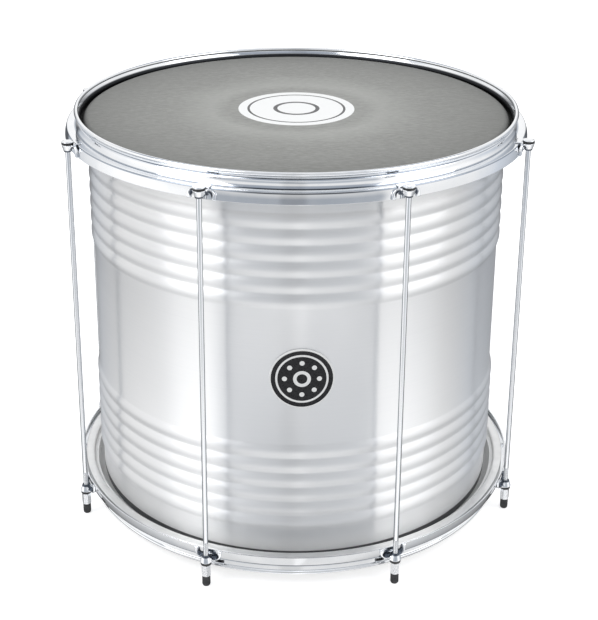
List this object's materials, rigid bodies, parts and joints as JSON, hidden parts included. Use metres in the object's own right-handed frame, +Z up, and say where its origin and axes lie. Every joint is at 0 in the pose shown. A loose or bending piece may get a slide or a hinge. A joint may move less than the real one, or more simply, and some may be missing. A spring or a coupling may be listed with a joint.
{
  "type": "surdo",
  "caption": "Round bass drum with a beaded metal shell, dark batter head, rolled hoops held by claws on long tension rods and rubber-tipped tuning nuts as feet.",
  "frame": {"origin": "on the floor, under the middle of the drum", "axes": "+Z up along the shell's axis, -Y towards the front, where the badge is, +X to the right seen from the front"},
  "size_m": [0.566, 0.566, 0.514],
  "materials": {
    "shell": "brushed satin",
    "badge": "gloss black with a silver border",
    "head": "matte napa-faced film",
    "film": "plain white film",
    "flesh_hoop": "satin",
    "hoop": "bright chrome on steel",
    "rod": "bright chrome on steel",
    "claw": "bright chrome on a casting",
    "washer": "matte black",
    "nut": "bright chrome on steel",
    "foot": "matte black"
  },
  "bodies": {
    "drum": {"shell": "shell", "shell_badge": "badge", "batter_head": "head", "resonant_head": "film", "batter_flesh_hoop": "flesh_hoop", "resonant_flesh_hoop": "flesh_hoop", "batter_hoop": "hoop", "resonant_hoop": "hoop", "tension_rod_1": "rod", "tension_rod_2": "rod", "tension_rod_3": "rod", "tension_rod_4": "rod", "tension_rod_5": "rod", "tension_rod_6": "rod", "tension_rod_7": "rod", "tension_rod_8": "rod", "upper_claw_1": "claw", "upper_claw_2": "claw", "upper_claw_3": "claw", "upper_claw_4": "claw", "upper_claw_5": "claw", "upper_claw_6": "claw", "upper_claw_7": "claw", "upper_claw_8": "claw"},
    "claw_1": {"lower_claw_1": "claw", "lower_washer_1": "washer"},
    "tuner_1": {"tuning_nut_1": "nut", "rubber_foot_1": "foot"},
    "claw_2": {"lower_claw_2": "claw", "lower_washer_2": "washer"},
    "tuner_2": {"tuning_nut_2": "nut", "rubber_foot_2": "foot"},
    "claw_3": {"lower_claw_3": "claw", "lower_washer_3": "washer"},
    "tuner_3": {"tuning_nut_3": "nut", "rubber_foot_3": "foot"},
    "claw_4": {"lower_claw_4": "claw", "lower_washer_4": "washer"},
    "tuner_4": {"tuning_nut_4": "nut", "rubber_foot_4": "foot"},
    "claw_5": {"lower_claw_5": "claw", "lower_washer_5": "washer"},
    "tuner_5": {"tuning_nut_5": "nut", "rubber_foot_5": "foot"},
    "claw_6": {"lower_claw_6": "claw", "lower_washer_6": "washer"},
    "tuner_6": {"tuning_nut_6": "nut", "rubber_foot_6": "foot"},
    "claw_7": {"lower_claw_7": "claw", "lower_washer_7": "washer"},
    "tuner_7": {"tuning_nut_7": "nut", "rubber_foot_7": "foot"},
    "claw_8": {"lower_claw_8": "claw", "lower_washer_8": "washer"},
    "tuner_8": {"tuning_nut_8": "nut", "rubber_foot_8": "foot"}
  },
  "joints": [
    {"name": "claw_slide_1", "type": "slide", "parent": "drum", "child": "claw_1", "axis": [0, 0, -1], "range_m": [0, 0.007]},
    {"name": "nut_spin_1", "type": "hinge", "parent": "claw_1", "child": "tuner_1", "pos_m": [0.11098, -0.26793, 0.0216], "axis": [0, 0, -1], "range_deg": [0, 2520]},
    {"name": "claw_slide_2", "type": "slide", "parent": "drum", "child": "claw_2", "axis": [0, 0, -1], "range_m": [0, 0.007]},
    {"name": "nut_spin_2", "type": "hinge", "parent": "claw_2", "child": "tuner_2", "pos_m": [0.26793, -0.11098, 0.0216], "axis": [0, 0, -1], "range_deg": [0, 2520]},
    {"name": "claw_slide_3", "type": "slide", "parent": "drum", "child": "claw_3", "axis": [0, 0, -1], "range_m": [0, 0.007]},
    {"name": "nut_spin_3", "type": "hinge", "parent": "claw_3", "child": "tuner_3", "pos_m": [0.26793, 0.11098, 0.0216], "axis": [0, 0, -1], "range_deg": [0, 2520]},
    {"name": "claw_slide_4", "type": "slide", "parent": "drum", "child": "claw_4", "axis": [0, 0, -1], "range_m": [0, 0.007]},
    {"name": "nut_spin_4", "type": "hinge", "parent": "claw_4", "child": "tuner_4", "pos_m": [0.11098, 0.26793, 0.0216], "axis": [0, 0, -1], "range_deg": [0, 2520]},
    {"name": "claw_slide_5", "type": "slide", "parent": "drum", "child": "claw_5", "axis": [0, 0, -1], "range_m": [0, 0.007]},
    {"name": "nut_spin_5", "type": "hinge", "parent": "claw_5", "child": "tuner_5", "pos_m": [-0.11098, 0.26793, 0.0216], "axis": [0, 0, -1], "range_deg": [0, 2520]},
    {"name": "claw_slide_6", "type": "slide", "parent": "drum", "child": "claw_6", "axis": [0, 0, -1], "range_m": [0, 0.007]},
    {"name": "nut_spin_6", "type": "hinge", "parent": "claw_6", "child": "tuner_6", "pos_m": [-0.26793, 0.11098, 0.0216], "axis": [0, 0, -1], "range_deg": [0, 2520]},
    {"name": "claw_slide_7", "type": "slide", "parent": "drum", "child": "claw_7", "axis": [0, 0, -1], "range_m": [0, 0.007]},
    {"name": "nut_spin_7", "type": "hinge", "parent": "claw_7", "child": "tuner_7", "pos_m": [-0.26793, -0.11098, 0.0216], "axis": [0, 0, -1], "range_deg": [0, 2520]},
    {"name": "claw_slide_8", "type": "slide", "parent": "drum", "child": "claw_8", "axis": [0, 0, -1], "range_m": [0, 0.007]},
    {"name": "nut_spin_8", "type": "hinge", "parent": "claw_8", "child": "tuner_8", "pos_m": [-0.11098, -0.26793, 0.0216], "axis": [0, 0, -1], "range_deg": [0, 2520]}
  ],
  "couplings": [
    {"joint": "nut_spin_1", "follows": "claw_slide_1", "rad_per_m": 6283.2},
    {"joint": "nut_spin_2", "follows": "claw_slide_2", "rad_per_m": 6283.2},
    {"joint": "nut_spin_3", "follows": "claw_slide_3", "rad_per_m": 6283.2},
    {"joint": "nut_spin_4", "follows": "claw_slide_4", "rad_per_m": 6283.2},
    {"joint": "nut_spin_5", "follows": "claw_slide_5", "rad_per_m": 6283.2},
    {"joint": "nut_spin_6", "follows": "claw_slide_6", "rad_per_m": 6283.2},
    {"joint": "nut_spin_7", "follows": "claw_slide_7", "rad_per_m": 6283.2},
    {"joint": "nut_spin_8", "follows": "claw_slide_8", "rad_per_m": 6283.2}
  ]
}
